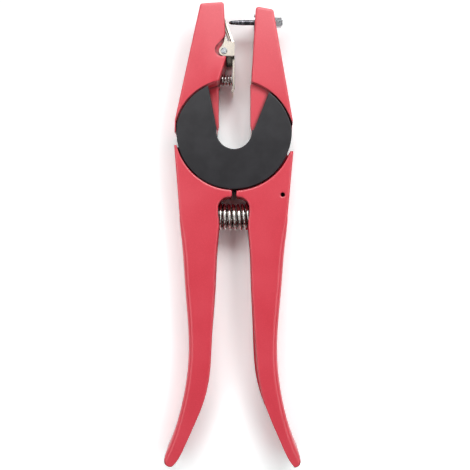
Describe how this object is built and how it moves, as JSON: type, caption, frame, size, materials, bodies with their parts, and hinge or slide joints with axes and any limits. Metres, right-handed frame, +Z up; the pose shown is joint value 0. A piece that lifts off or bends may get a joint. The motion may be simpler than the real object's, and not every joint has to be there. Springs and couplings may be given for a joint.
{
  "type": "ear tag applicator",
  "caption": "Plier-type hand applicator for livestock ear tags, with an open-throat ring pivot, a tag pin on one jaw and a sprung tag clip on the other.",
  "frame": {"origin": "on the axis of the ring pivot, in the plane that the tool lies on", "axes": "+Y towards the jaws, +Z up out of the front face, +X to the right seen from above"},
  "size_m": [0.0733, 0.2494, 0.024],
  "materials": {
    "red_arms": "satin red enamel on die-cast aluminium",
    "black_covers": "matte black moulded nylon",
    "bearing_steel": "turned steel, lightly oiled",
    "shim_plastic": "black acetal sheet",
    "spring_steel": "bright plated spring wire",
    "pin_steel": "hardened dark steel",
    "zinc_steel": "bright zinc-plated steel",
    "nickel_clip": "bright nickel-plated steel stamping"
  },
  "bodies": {
    "pin_arm_body": {"pin_arm": "red_arms", "hub_cover_front": "black_covers", "hub_cover_back": "black_covers", "hub_sleeve": "bearing_steel", "hub_shim": "shim_plastic", "hub_screws": "zinc_steel", "handle_spring": "spring_steel", "tag_pin": "pin_steel", "pin_collar": "zinc_steel", "pin_washer": "zinc_steel", "pin_lock_nut": "zinc_steel"},
    "clip_arm_body": {"clip_arm": "red_arms", "clip_hinge_pin": "zinc_steel", "clip_pin_retainer": "zinc_steel", "clip_spring": "spring_steel"},
    "clip_body": {"tag_clip": "nickel_clip"}
  },
  "joints": [
    {"name": "handle_pivot", "type": "hinge", "parent": "pin_arm_body", "child": "clip_arm_body", "pos_m": [0, 0, 0.012], "axis": [0, 0, 1], "range_deg": [-3.5, 11], "stiffness_Nm_per_rad": 12.5, "deforming": ["handle_spring"]},
    {"name": "clip_hinge", "type": "hinge", "parent": "clip_arm_body", "child": "clip_body", "pos_m": [-0.0054, 0.043, 0.012], "axis": [0, 0, -1], "range_deg": [0, 12], "stiffness_Nm_per_rad": 0.2, "springref_deg": -5.73, "deforming": ["clip_spring"]}
  ]
}
